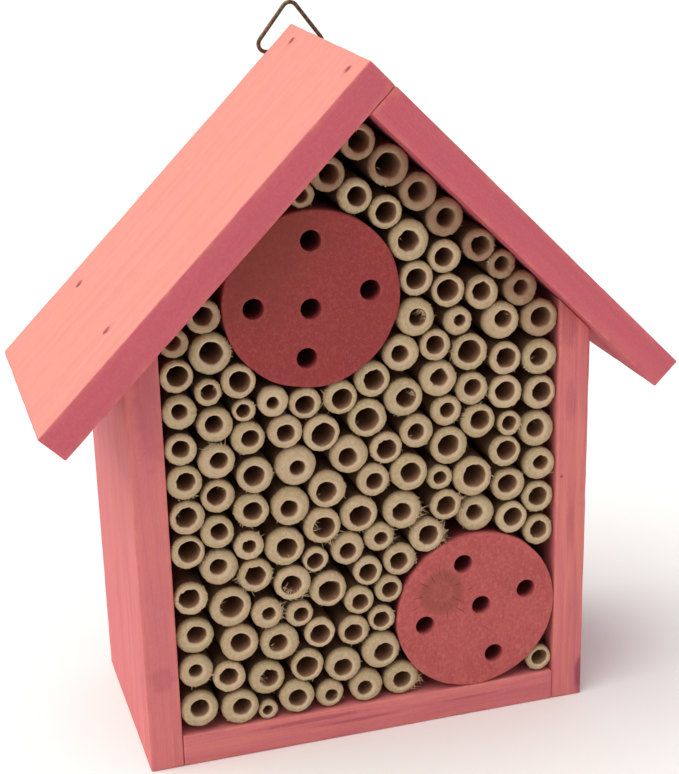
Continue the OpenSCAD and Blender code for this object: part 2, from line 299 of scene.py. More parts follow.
def timber_group():
    """Growth rings, fibres and drink marks of sawn wood whose grain runs along the vector's X."""
    labels = ("Rings", "Late", "Fibres", "Patches", "Streaks", "Bands", "Grit")
    tree, given, out = new_group(
        "Timber", "ShaderNodeTree",
        [("Vector", "Vector", None), ("Ring Pitch", "Float", 2.8 * MM), ("Seed", "Float", 0.0)],
        [(label, "Float") for label in labels],
    )
    at, seed = given["Vector"], given["Seed"]
    slow, thread, bands = (
        vector_calc("MULTIPLY", at, (along, 1, 1)) for along in (0.10, 0.035, 0.06)
    )
    sway = lump(slow, 42, 2, w=seed)
    _, y, z = split(at)
    from_pith = vector_calc("LENGTH", combine(0, sway * 0.022 + y, sway * 0.016 + z + 0.045))
    turns = calc("FRACT", from_pith / given["Ring Pitch"])
    late = ramp(turns, 0.88, 1.0)
    feed(out["Rings"], ramp(turns, 0.1, 0.85) - late)
    feed(out["Late"], ramp(turns, 0.55, 0.9) * (1 - late))
    patterns = (
        (thread, 2600, 3, 0.6, seed, 0.3, 0.7),
        (at, 38, 3, 0.6, seed, 0.3, 0.7),
        (bands, 330, 2, 0.55, seed, 0.45, 0.68),
        (bands, 210, 3, 0.6, seed + 17, 0.47, 0.70),
        (at, 1500, 3, 0.65, seed + 17, 0.4, 0.7),
    )
    for label, (place, scale, detail, rough, w, low, high) in zip(labels[2:], patterns):
        feed(out[label], ramp(lump(place, scale, detail, rough, w), low, high))
    return tree


def speck_group():
    """Sparse specks and a faint dust that gathers on whatever faces up."""
    tree, given, out = new_group(
        "Specks", "ShaderNodeTree",
        [("Vector", "Vector", None), ("Scale", "Float", 400.0), ("Share", "Float", 0.1)],
        [("Specks", "Float"), ("Dust", "Float"), ("Sky", "Float")],
    )
    at = given["Vector"]
    cells = add(tree, "ShaderNodeTexVoronoi", {"Vector": at, "Scale": given["Scale"]}, "Distance")
    feed(out["Specks"], calc("LESS_THAN", cells, given["Share"] * lump(at, 150, 1)))
    facing = split(add(tree, "ShaderNodeNewGeometry", result="True Normal"))[2]
    feed(out["Sky"], ramp(facing, 0.25, 0.75))
    feed(out["Dust"], ramp(facing, 0.2, 1.0) * ramp(lump(at, 220, 4, 0.7), 0.42, 0.75))
    return tree


# ---- materials ----

# Tints that belong to one finish each
# Colour of darker stain marks, also used for painted shade under the roof
SOAKED_MARK_AND_SHADE = (0.30, 0.05, 0.085)
DUST = (0.80, 0.62, 0.52)
CRACK = (0.12, 0.025, 0.02)
REED_STAIN = (0.40, 0.28, 0.15)
REED_PORE = (0.30, 0.20, 0.10)
# Darker outer edge of a cut face: the rind's own colour and painted shade where the face rounds away
REED_OUTER_EDGE_AND_SHADE = (0.36, 0.25, 0.13)
# Painted shade on the faces of tubes close under the roof
REED_SHADE_UNDER_ROOF = (0.27, 0.145, 0.085)
REED_SKIN_THREAD = (0.16, 0.09, 0.05)
# Painted shade farther down the outside of a tube, in the gaps
REED_SKIN_PAINTED_SHADE_DEEP = (0.24, 0.11, 0.055)
REED_BORE_THREAD = (0.41, 0.24, 0.14)
# Painted shade deep in a bore
REED_BORE_PAINTED_SHADE = (0.26, 0.125, 0.07)
FIBRE_TINTS = (0.68, 0.52, 0.33), (0.50, 0.35, 0.20)
STEEL, WORN_STEEL = (0.30, 0.14, 0.12), (0.46, 0.29, 0.25)
RUST = (0.22, 0.085, 0.045)


def surface(name, build):
    """A material; build(tree, place) gives its shader's inputs and (strength, distance, height)."""
    made = bpy.data.materials.new(name)
    made.use_nodes = True
    tree = made.node_tree
    looks, bump = build(tree, add(tree, "ShaderNodeTexCoord", result="Object"))
    if bump:
        looks["Normal"] = add(
            tree, "ShaderNodeBump", dict(zip(("Strength", "Distance", "Height"), bump))
        )
    for key, value in looks.items():
        feed(tree.nodes["Principled BSDF"].inputs[key], value)
    return made


def group_in(tree, shared, inputs):
    """A copy of a shared effect in a material, as its values by name."""
    made = tree.nodes.new("ShaderNodeGroup")
    made.node_tree = shared
    for key, value in inputs.items():
        feed(made.inputs[key], value)
    return {socket.name: Value(socket) for socket in made.outputs}


def painted(tree, word):
    """A number stored on the mesh, for a material."""
    return add(tree, "ShaderNodeAttribute", result="Fac", attribute_name=word)


def stained_board(name, turn, seed, stain, streaky, top, marks=()):
    """Softwood under a thin rose stain; marks are (place, size, strength) of darker stains and painted
    shade.
    """
    look = bpy.context.scene.hotel_boards
    thin, deep = look.stain_thin, look.stain_deep

    def build(tree, at):
        grained = add(tree, "ShaderNodeMapping", {
            "Vector": at, "Location": (seed * 0.031, seed * 0.017, seed * 0.023),
            "Rotation": (0, turn, 0),
        })
        wood = group_in(tree, SHARED["timber"], {"Vector": grained, "Seed": seed})
        specks = group_in(tree, SHARED["specks"], {"Vector": at, "Scale": 300, "Share": 0.10})
        rings, late, fibres, patches, streaks, bands, grit = wood.values()
        even = layered(
            stain, (rings * (0.03 + streaky * 0.3), thin), (late * (0.06 + streaky * 0.5), deep),
            (patches * 0.14, deep), (streaks * streaky, thin), (bands * (streaky * 1.25), deep),
            (fibres * 0.18, deep), (grit * 0.16, thin),
        )
        bleached = layered(
            top, (patches * 0.10, thin), (late * 0.10, look.stain), (streaks * 0.08, deep),
            (fibres * 0.10, look.stain),
        )
        rubbed = calc("POWER", painted(tree, "arris"), 3) * ramp(lump(at, 160, 4, 0.7), 0.35, 0.8)
        tone = layered(
            even, (specks["Sky"] * 0.95, bleached), (rubbed * 0.5, thin),
            (specks["Specks"] * 0.30, deep),
        )
        # Marks darken the stain; those high on the side walls are painted shade under the roof
        for place, size, strength in marks:
            away = vector_calc("DIVIDE", vector_calc("SUBTRACT", at, place), size)
            ragged = lump(at, 300, 3, 0.7) * 0.8 + vector_calc("LENGTH", away)
            tone = layered(tone, (ramp(ragged, 1.5, 0.9) * strength, SOAKED_MARK_AND_SHADE))
        looks = {
            "Base Color": layered(tone, (specks["Dust"] * 0.08, DUST)),
            "Roughness": rings * 0.08 + (fibres * 0.12 + 0.62),
            "Specular IOR Level": 0.28,
        }
        return looks, (0.35, 0.12 * MM, grit * 0.35 + (rings * 0.5 + fibres))

    return surface(name, build)


def stained_end_grain(name, pith, stain, brown, shaded, flecked, seed, front):
    """Sawn end grain under rose stain; brown is its heart's radius, shaded a browner (place, reach)."""
    look = bpy.context.scene.hotel_logs

    def build(tree, at):
        def polar(place):
            """Distance from a place in the sawn face, and the angle about it."""
            x, _, z = split(vector_calc("SUBTRACT", at, (place[0], 0, place[1])))
            return vector_calc("LENGTH", combine(x, 0, z)), calc("ARCTAN2", z, x)

        away, around = polar(pith)
        wobble = lump(at, 70, 3, w=seed) - 0.5
        reach = wobble * 0.006 + away
        turns = calc("FRACT", reach / (2.6 * MM))
        rings = ramp(turns, 0.0, 0.8) - ramp(turns, 0.8, 1.0)
        ray = ramp(lump(combine(around * 30, reach * 70, 0), 1.0, 3, 0.6, w=seed), 0.50, 0.72)
        saw = lump(vector_calc("MULTIPLY", at, (5, 1, 0.8)), 330, 3, 0.6, w=seed + 5)
        cells = lump(at, 2400, 3, 0.7, w=seed + 9)
        fleck = ramp(lump(at, 800, 4, 0.7, w=seed + 4), 0.46, 0.68)
        patches = ramp(lump(at, 95, 4, 0.6, w=seed + 2), 0.35, 0.68)
        shade_away = wobble * 0.020 + polar(shaded[0])[0]
        shade = ramp(shade_away, shaded[1], shaded[1] * 0.3) * (patches * 0.30 + 0.38)
        heart_reach = wobble * 0.004 + away
        ringed = ramp(heart_reach, brown * 0.55, brown * 0.95) * 0.42 + 0.34
        checked = ray * 0.35 + (rings * 0.12 + ringed)
        # Painted shade in the holes and on the side, deeper behind the sawn face
        behind = ramp(split(at)[1], front + 0.7 * MM, front + 3.5 * MM)
        rubbed = painted(tree, "arris") * ramp(lump(at, 500, 3, 0.7), 0.45, 0.75)
        tone = layered(
            stain, (rings * 0.10, look.deep), (patches * 0.28, look.deep), (ray * 0.32, look.deep),
            (ramp(saw, 0.45, 0.72) * 0.32, look.deep),
            (ramp(cells, 0.45, 0.72) * (0.16 + flecked * 0.4), look.pale),
            (fleck * flecked, look.pale), (shade, look.shade),
            (ramp(heart_reach, brown * 1.25, brown * 0.7) * checked, look.pith),
            (behind * 0.8, look.inside), (painted(tree, "crack") * 0.8, CRACK),
            (rubbed * 0.3, look.pale),
        )
        looks = {"Base Color": tone, "Roughness": cells * 0.2 + 0.68, "Specular IOR Level": 0.2}
        return looks, (0.5, 0.14 * MM, ray * -0.5 + (rings * 0.15 + (cells * 1.1 + saw)))

    return surface(name, build)


def cut_reed():
    """Dry reed: straw pith, pale hard rim, brown lining; painted shade darkens its outside and deep bore.
    """
    look = bpy.context.scene.hotel_reeds

    def build(tree, at):
        across, sink, tone, turn, lining, shade_under_roof = (
            painted(tree, word) for word in ("across", "sink", "tone", "turn", "lining", "shade_under_roof")
        )
        flat = vector_calc("MULTIPLY", at, (1, 0.3, 1))
        pores = add(tree, "ShaderNodeTexVoronoi", {"Vector": flat, "Scale": 2300}, "Distance")
        pore = ramp(pores, 0.34, 0.14)
        mottle = lump(at, 1000, 4, 0.7)
        stains = lump(at, 260, 3, 0.6)
        spokes = lump(combine(turn * 9, across * 2, tone), 1.0, 3, 0.65)
        thread = ramp(lump(combine(turn * 26, sink * 90, tone), 1.0, 3, 0.6), 0.35, 0.65)
        # The face darkens towards its outer edge: the rind's own colour and painted shade where it rounds
        # away
        outer_edge_and_shade = ramp(across, 0.62, 1.0) * ramp(spokes, 0.3, 0.7, 0.35, 1.0)
        rim = 1.0 - ramp((mottle - 0.5) * 0.25 + across, 0.16, 0.42)
        face = layered(
            look.straw,
            (ramp(tone, 0.45, 1.0, 0.0, 0.8, False), look.olive),
            (ramp(tone, 0.0, 0.35, 0.5, 0.0, False), look.pale),
            (ramp(mottle, 0.42, 0.66, 0.0, 0.60), look.pale),
            (ramp(stains, 0.50, 0.78, 0.0, 0.45), REED_STAIN),
            (pore * 0.50, REED_PORE),
            (outer_edge_and_shade * 0.55, REED_OUTER_EDGE_AND_SHADE),
            (rim * 0.75, look.pale),
            # Painted shade under the roof: faces nearest the roof turn darker and browner
            (shade_under_roof * ramp(stains, 0.25, 0.7, 0.55, 0.85), REED_SHADE_UNDER_ROOF),
        )
        # Painted shade on the outside of each tube, darkest just behind the rim
        skin = layered(
            look.skin, (thread, REED_SKIN_THREAD), (ramp(sink, 2 * MM, 10 * MM), REED_SKIN_PAINTED_SHADE_DEEP)
        )
        # Painted shade: the bore lining darkens deeper into the tube
        inner = layered(
            look.bore, (thread, REED_BORE_THREAD), (ramp(sink, 0.0, 14 * MM), REED_BORE_PAINTED_SHADE)
        )
        looks = {
            # Painted shade: the face colour gives way to the dark outside just behind the rim
            "Base Color": layered(face, (ramp(sink, 0.2 * MM, 1.3 * MM), skin), (lining, inner)),
            "Roughness": mottle * 0.2 + 0.6,
            "Specular IOR Level": 0.25,
        }
        return looks, (0.6, 0.16 * MM, pore * -0.8 + (mottle + spokes))

    return surface("cut_reed", build)


def frayed_fibre():
    """Loose reed fibres and crumbs of pith."""

    def build(tree, at):
        tint = ramp(lump(at, 500, 2), 0.35, 0.65)
        tone = layered(FIBRE_TINTS[0], (tint, FIBRE_TINTS[1]))
        return {"Base Color": tone, "Roughness": tint * 0.15 + 0.6}, None

    return surface("frayed_fibre", build)


def aged_metal(name, base, worn, gloss, rust):
    """Plated or bare metal, darkened with age and rubbed bright in scattered scuffs."""

    def build(tree, at):
        film = ramp(lump(at, 900, 4, 0.65), 0.4, 0.68)
        scuffs = lump(vector_calc("MULTIPLY", at, (1, 1, 6)), 1600, 3, 0.7)
        patches = ramp(lump(at, 1400, 3, 0.6), 0.42, 0.62) * rust
        scuffed = (ramp(scuffs, 0.55, 0.72) * 0.5, worn)
        tone = layered(base, (film * 0.45, worn), scuffed, (patches, RUST))
        looks = {"Base Color": tone, "Metallic": 0.95 - patches, "Roughness": film * 0.25 + gloss}
        return looks, (0.3, 0.04 * MM, film)

    return surface(name, build)


# ---- shared parts of the Geometry Nodes trees ----


def geometry_group(name, inputs):
    """A Geometry Nodes tree that takes geometry and a material besides its own inputs."""
    return new_group(
        name, "GeometryNodeTree",
        [("Geometry", "Geometry", None), *inputs, ("Material", "Material", None)],
        [("Geometry", "Geometry")],
    )


def ended(tree, given, out, shape):
    """The tree, ended with real geometry in its material."""
    real = add(tree, "GeometryNodeRealizeInstances", {0: shape})
    dressed = add(tree, "GeometryNodeSetMaterial", {0: real, "Material": given["Material"]})
    feed(out["Geometry"], dressed)
    return tree


def on_points(tree, given, label):
    """Real copies of the object in one input, one on every point."""
    blank = add(tree, "GeometryNodeObjectInfo", {"Object": given[label]}, "Geometry")
    placed = {"Points": given["Geometry"], "Instance": blank}
    return add(
        tree, "GeometryNodeRealizeInstances", {0: add(tree, "GeometryNodeInstanceOnPoints", placed)}
    )


def moved(tree, shape, how, value):
    """Geometry moved to a Position or by an Offset."""
    return add(tree, "GeometryNodeSetPosition", {"Geometry": shape, how: value})


def pushed(tree, shape, distance):
    """Geometry moved along its normals."""
    normal = add(tree, "GeometryNodeInputNormal")
    return moved(tree, shape, "Offset", vector_calc("SCALE", normal, Scale=distance))


def read(tree, word, kind="FLOAT"):
    """A number or vector stored on the points."""
    return add(tree, "GeometryNodeInputNamedAttribute", {"Name": word}, data_type=kind)


# ---- mesh helpers ----


def linked(name, mesh):
    """A new object with this mesh in the scene."""
    made = bpy.data.objects.new(name, mesh)
    bpy.context.scene.collection.objects.link(made)
    return made


def merged(node):
    """A CAD node's mesh with its doubled points merged."""
    shape = bmesh.new()
    shape.from_mesh(frame["nodes"][node].data)
    bmesh.ops.remove_doubles(shape, verts=shape.verts, dist=2e-6)
    return shape


def as_mesh(shape, name):
    """A plain mesh of a bmesh, which is then freed."""
    mesh = bpy.data.meshes.new(name)
    shape.to_mesh(mesh)
    shape.free()
    return mesh


def eased(shape, arris, segments, flat, sharpest, shortest):
    """Joins a CAD mesh's flat faces, then rounds the edges that are sharp and long enough."""
    bmesh.ops.dissolve_limit(
        shape, angle_limit=math.radians(flat), verts=shape.verts[:], edges=shape.edges[:]
    )
    sharp = [
        edge for edge in shape.edges
        if edge.calc_length() > shortest and edge.calc_face_angle(0) > math.radians(sharpest)
    ]
    bmesh.ops.bevel(
        shape, geom=sharp, offset=arris, segments=segments, profile=0.5, affect="EDGES",
        clamp_overlap=True,
    )


def islands(shape):
    """The points of each separate solid of a mesh, as arrays of places."""
    left = set(shape.verts)
    found = []
    while left:
        queue = [left.pop()]
        island = []
        while queue:
            vert = queue.pop()
            island.append(vert.co[:])
            for edge in vert.link_edges:
                other = edge.other_vert(vert)
                if other in left:
                    left.remove(other)
                    queue.append(other)
        found.append(np.array(island))
    return found


def from_points(name, points, edges=(), faces=(), layers=None):
    """An object made of points, with numbers or vectors stored on them."""
    mesh = bpy.data.meshes.new(name)
    mesh.from_pydata(points, edges, faces)
    for key, values in (layers or {}).items():
        values = np.asarray(values, np.float32)
        kind, field = ("FLOAT", "value") if values.ndim == 1 else ("FLOAT_VECTOR", "vector")
        mesh.attributes.new(key, kind, "POINT").data.foreach_set(field, values.ravel())
    return linked(name, mesh)


def net(rows, sides, closed=False):
    """Quads between rows of points that each go round; the last row joins the first if closed."""
    faces = []
    for row in range(rows if closed else rows - 1):
        low, high = row * sides, (row + 1) % rows * sides
        for side in range(sides):
            beside = (side + 1) % sides
            faces.append((low + side, low + beside, high + beside, high + side))
    return faces


def grown(source, tree, values):
    """The plain mesh that a Geometry Nodes tree makes of an object, which is then discarded."""
    modifier = source.modifiers.new(tree.name, "NODES")
    modifier.node_group = tree
    for item in tree.interface.items_tree:
        if item.in_out == "INPUT" and item.name in values:
            modifier[item.identifier] = values[item.name]
    depsgraph = bpy.context.evaluated_depsgraph_get()
    made = bpy.data.meshes.new_from_object(
        source.evaluated_get(depsgraph), preserve_all_data_layers=True, depsgraph=depsgraph
    )
    source.modifiers.clear()
    discard(source)
    return made


def smoothed(mesh):
    """Shades a mesh smooth but for its sharp edges."""
    mesh.shade_smooth()
    mesh.set_sharp_from_angle(angle=SHARP_FROM)


def finished(name, mesh, material, slot, *nodes):
    """A piece on the house, shown in place of the CAD nodes that it stands for."""
    piece = linked(name, mesh)
    if not mesh.materials:
        mesh.materials.append(material)
    smoothed(mesh)
    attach(piece, HOUSE)
    if nodes:
        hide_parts(*nodes)
    return piece


def discard(obj):
    """Removes a helper object and its mesh."""
    mesh = obj.data
    bpy.data.objects.remove(obj)
    bpy.data.meshes.remove(mesh)


# ---- boards ----

SLOPE = math.radians(45)
# What each board is made from: its CAD node, its slot, the turn that brings its grain to X, its
# seed, its stain and its sunlit top as settings, and how streaky the stain is
BOARDS = {
    "roof_board_left": ("roof_left", "roof_stain_light", math.radians(225), 1, "roof_stain", "faded", 0.05),
    "roof_board_right": ("roof_right", "roof_stain", -SLOPE, 2, "roof_stain", "half_faded", 0.10),
    "side_wall_left": ("wall_left", "board_stain", math.radians(90), 3, "stain", "stain", 0.22),
    "side_wall_right": ("wall_right", "board_stain", math.radians(90), 4, "stain", "stain", 0.50),
    "floor_plank": ("floor_board", "board_stain", 0.0, 5, "stain", "stain", 0.28),
    "rear_panel": ("back_panel", "panel_stain", math.radians(90), 6, "stain", "stain", 0.20),
}
# Darker marks in the stain and painted shade: (place, size in each direction, strength)
STAIN_AND_SHADE_MARKS = {
    "side_wall_right": [
        ((0.0685, -0.036, 0.007), (0.0022, 0.003, 0.0075), 0.8),
        ((0.0607, -0.036, 0.076), (0.0006, 0.002, 0.0006), 0.9),
        # Painted shade under the roof at the top of the wall, partly stain too
        ((0.0620, -0.036, 0.131), (0.0036, 0.004, 0.0190), 0.35),
        ((0.0692, -0.036, 0.124), (0.0013, 0.004, 0.0260), 0.45),
        ((0.0630, -0.036, 0.100), (0.0020, 0.003, 0.0080), 0.20),
        ((0.0640, -0.036, 0.060), (0.0019, 0.003, 0.0090), 0.20),
    ],
    "side_wall_left": [
        ((-0.064, -0.036, 0.030), (0.004, 0.004, 0.005), 0.25),
        # Painted shade under the roof overhang at the top of the wall
        ((-0.062, -0.036, 0.118), (0.0055, 0.004, 0.0260), 0.30),
    ],
    "floor_plank": [
        ((-0.020, -0.036, 0.0078), (0.022, 0.003, 0.0009), 0.5),
        ((-0.005, -0.036, 0.0052), (0.016, 0.003, 0.0006), 0.4),
        ((0.032, -0.036, 0.0060), (0.012, 0.003, 0.0005), 0.35),
    ],
}
# Nicks in the edges: (place, reach)
NICKS = {
    "roof_board_left": [((-0.0373, -0.044, 0.1677), 0.0017), ((-0.060, -0.044, 0.145), 0.0008)],
    "roof_board_right": [((0.071, -0.044, 0.134), 0.0008)],
    "floor_plank": [((0.031, -0.036, 0.0), 0.0010)],
}


def weathering_tree():
    """Pushes a board's points inward: planed waves along the grain, and dents in its edges."""
    labels = ("Relief", "Wear", "Grain Turn", "Seed")
    tree, given, out = geometry_group("Weathering", [(label, "Float", 0.0) for label in labels])
    relief, wear, turn, seed = (given[label] for label in labels)
    at = add(tree, "GeometryNodeInputPosition")
    turned = add(
        tree, "ShaderNodeVectorRotate", {"Vector": at, "Angle": turn}, rotation_type="Y_AXIS"
    )
    waves = lump(vector_calc("MULTIPLY", turned, (0.22, 1, 1)), 170, 2, w=seed) * relief
    dents = ramp(lump(at, 130, 3, 0.6, w=seed + 7), 0.45, 0.8)
    worn = dents * read(tree, "arris") * wear
    return ended(tree, given, out, pushed(tree, given["Geometry"], (waves + worn) * -1))


def cut_across(shape, direction, pitch):
    """Cuts a mesh with evenly spaced planes across one direction."""
    reach = [vert.co.dot(direction) for vert in shape.verts]
    low, high = min(reach), max(reach)
    count = max(1, round((high - low) / pitch))
    for number in range(1, count):
        place = direction * (low + (high - low) * number / count)
        everything = shape.verts[:] + shape.edges[:] + shape.faces[:]
        bmesh.ops.bisect_plane(shape, geom=everything, plane_co=place, plane_no=direction, dist=1e-6)


def board_mesh(node, turn, arris, nicks):
    """A CAD board with its long edges rounded and its faces cut small enough to be shaped."""
    shape = merged(node)
    mark = shape.verts.layers.float.new("arris")
    eased(shape, arris, 3, 1, 25, 4 * MM)
    grain_frame = Matrix.Rotation(turn, 3, "Y").inverted()
    along, out = grain_frame @ Vector((1, 0, 0)), grain_frame @ Vector((0, 0, 1))
    cut_across(shape, along, 3.0 * MM)
    cut_across(shape, Vector((0, 1, 0)), 2.4 * MM)
    cut_across(shape, out, 3.4 * MM)
    shape.normal_update()
    for vert in shape.verts:
        facing = [face.normal for face in vert.link_faces]
        flat = all(facing[0].dot(normal) > math.cos(math.radians(4)) for normal in facing)
        vert[mark] = 0.0 if flat else 1.0
    for place, reach in nicks:
        middle = Vector(place)
        inside = (sum((vert.co for vert in shape.verts), Vector()) / len(shape.verts) - middle).normalized()
        for vert in shape.verts:
            away = (vert.co - middle).length / reach
            if away < 1:
                push = (1 - away * away) * reach * (0.35 + 0.3 * noise.noise(vert.co * 1500))
                vert.co += inside * push
    return as_mesh(shape, node)


class INSECT_HOTEL_OT_boards(bpy.types.Operator):
    """Make the six stained boards of the house and its roof"""

    bl_idname = "insect_hotel.boards"
    bl_label = "Boards"

    def execute(self, context):
        look = context.scene.hotel_boards
        tree = weathering_tree()
        for name, (node, slot, turn, seed, stain, top, streaky) in BOARDS.items():
            source = linked(node + "_blank", board_mesh(node, turn, look.arris, NICKS.get(name, ())))
            finish = stained_board(
                name + "_stain", turn, seed, getattr(look, stain), streaky, getattr(look, top),
                STAIN_AND_SHADE_MARKS.get(name, ()),
            )
            mesh = grown(source, tree, {
                "Relief": look.relief, "Wear": look.wear, "Grain Turn": turn, "Seed": seed,
                "Material": finish,
            })
            finished(name, mesh, finish, slot, node)
        return {"FINISHED"}


# ---- log slices ----

# Each slice: CAD node, heart of the tree (x, z), its stain's setting, radius of its brown heart,
# its browner part as (place, reach), how flecked it is, how many cracks it has, and its seed
LOGS = {
    "log_slice_upper": (
        "log_upper", (-0.0190, 0.1465), "upper", 1.2 * MM, ((-0.036, 0.163), 38 * MM), 0.14, 0, 3,
    ),
    "log_slice_lower": (
        "log_lower", (0.0220, 0.0435), "lower", 6.8 * MM, ((0.034, 0.050), 1 * MM), 0.45, 15, 8,
    ),
}


SLICE_SIDES = 180
HOLE_SIDES = 44
# Rows of points each way from the middle in the net that makes a sawn face
NET_REACH = 32


def circle_points(centre, radius, count, ragged=0.0, seed=0.0):
    """Points round a circle in the front plane, a little out of round where ragged."""
    points = []
    for number in range(count):
        angle = math.tau * number / count
        way = Vector((math.cos(angle), math.sin(angle)))
        wobble = noise.noise(Vector((way.x * 2.2, way.y * 2.2, seed))) * ragged
        points.append(Vector(centre) + way * radius * (1 + wobble))
    return points


def drilled_holes(node):
    """A slice's middle, radius, holes as (middle, radius), front, back and the holes' floor."""
    shape = merged(node)
    low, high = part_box(node)
    rims = np.array([
        (vert.co.x, vert.co.z) for vert in shape.verts if abs(vert.co.y - low.y) < 0.001 * MM
    ])
    floor_y = min(vert.co.y for vert in shape.verts if vert.co.y > low.y + 0.01 * MM)
    shape.free()
    middle = np.array([(low.x + high.x) / 2, (low.z + high.z) / 2])
    outer = (high.x - low.x) / 2
    inner = rims[np.hypot(*(rims - middle).T) < outer * 0.9]
    holes = []
    while len(inner):
        near = np.hypot(*(inner - inner[0]).T) < 8 * MM
        group = inner[near]
        centre = (group.max(0) + group.min(0)) / 2
        holes.append((centre, float(np.hypot(*(group - centre).T).max())))
        inner = inner[~near]
    return middle, outer, holes, low.y, high.y, floor_y


def encloses(ring, point):
    """Whether a closed ring of points in the front plane goes round a point."""
    inside = False
    for one, other in zip(ring, ring[1:] + ring[:1]):
        if (one.y > point.y) != (other.y > point.y):
            cross = one.x + (point.y - one.y) * (other.x - one.x) / (other.y - one.y)
            inside ^= point.x < cross
    return inside


def drying_cracks(pith, brown, middle, outer, count, seed):
    """Fine radial cracks about the heart of a slice, as lists of points."""
    random = np.random.default_rng(seed)
    lines = []
    for number in range(count):
        angle = math.tau * (number + random.uniform(-0.4, 0.4)) / count
        start = brown * random.uniform(0.35, 1.0) + 0.6 * MM
        run = random.uniform(2.5, 8.0) * MM * random.uniform(0.5, 1.0)
        sway = random.uniform(-0.12, 0.12)
        line = []
        for step in range(6):
            reach = start + run * step / 5
            bend = angle + sway * step / 5 + random.uniform(-0.02, 0.02)
            line.append(Vector((pith[0] + reach * math.cos(bend), pith[1] + reach * math.sin(bend))))
        lines.append(line)
    rim = outer - 0.9 * MM
    return [line for line in lines if all((point - Vector(middle)).length < rim for point in line)]


def face_net(middle, reach, holes, rim):
    """An even net of points that fills a sawn face between its edge and its holes."""
    pitch = 0.95 * MM
    points = []
    for row in range(-NET_REACH, NET_REACH + 1):
        for column in range(-NET_REACH, NET_REACH + 1):
            step = Vector(((column + 0.5 * (row % 2)) * pitch, row * pitch * math.sqrt(3) / 2))
            point = Vector(middle) + step
            clear = step.length < reach - 0.5 * pitch
            if clear and all((point - Vector(c)).length > r + rim + 0.6 * pitch for c, r in holes):
                points.append(point)
    return points


def slice_plan(middle, reach, holes, rim, cracks, crack_w, seed):
    """A sawn face's points, its loops of them, their edges, and how far points are sunk."""
    points = circle_points(middle, reach, SLICE_SIDES, 0.004, seed)
    loops = [list(range(SLICE_SIDES))]
    for number, (centre, radius) in enumerate(holes):
        start = len(points)
        points += circle_points(centre, radius + rim, HOLE_SIDES, 0.05, seed + number * 3.1)
        loops.append(list(range(start, start + HOLE_SIDES)))
    edges = [pair for loop in loops for pair in zip(loop, loop[1:] + loop[:1])]
    sunk = {}
    for line in cracks:
        if any((point - Vector(c)).length < r + 1.2 * MM for point in line for c, r in holes):
            continue
        start = len(points)
        last = len(line) - 1
        for step, point in enumerate(line):
            taper = math.sin(math.pi * step / last) if 0 < step < last else 0
            ahead = (line[min(step + 1, last)] - line[max(step - 1, 0)]).normalized()
            side = Vector((-ahead.y, ahead.x)) * crack_w / 2 * max(taper, 0.05)
            sunk[len(points)] = taper
            points += [point, point + side, point - side]
        edges += [(k, k + 3) for k in range(start, start + 3 * last)]
    return points + face_net(middle, reach, holes, rim), loops, edges, sunk


def rim_stations(front, radius, edge, outward, *turns):
    """Stations as (radius, y, mark) round a rim that is eased over a width, by turns in degrees."""
    stations = []
    for turn in turns:
        back_off = edge * (1 - math.sin(math.radians(turn)))
        behind = front + 0.1 * MM + edge * (1 - math.cos(math.radians(turn)))
        stations.append((radius + outward * back_off, behind, 1.0))
    return stations


def run_back(shape, ring, centre, stations, seed):
    """Joins a ring of points for each station behind a ring, and gives the last one."""
    arris = shape.verts.layers.float["arris"]
    for vert in ring:
        vert[arris] = 1.0
    for reach, y, mark in stations:
        following = []
        for vert in ring:
            way = Vector((vert.co.x - centre[0], vert.co.z - centre[1])).normalized()
            ragged = 1 + 0.012 * noise.noise(Vector((way.x * 3, way.y * 3, y * 300 + seed)))
            x, z = (centre[0] + way.x * reach * ragged, centre[1] + way.y * reach * ragged)
            following.append(shape.verts.new((x, y, z)))
            following[-1][arris] = mark
        for corners in zip(ring, ring[1:] + ring[:1], following[1:] + following[:1], following):
            shape.faces.new(corners)
        ring = following
    return ring


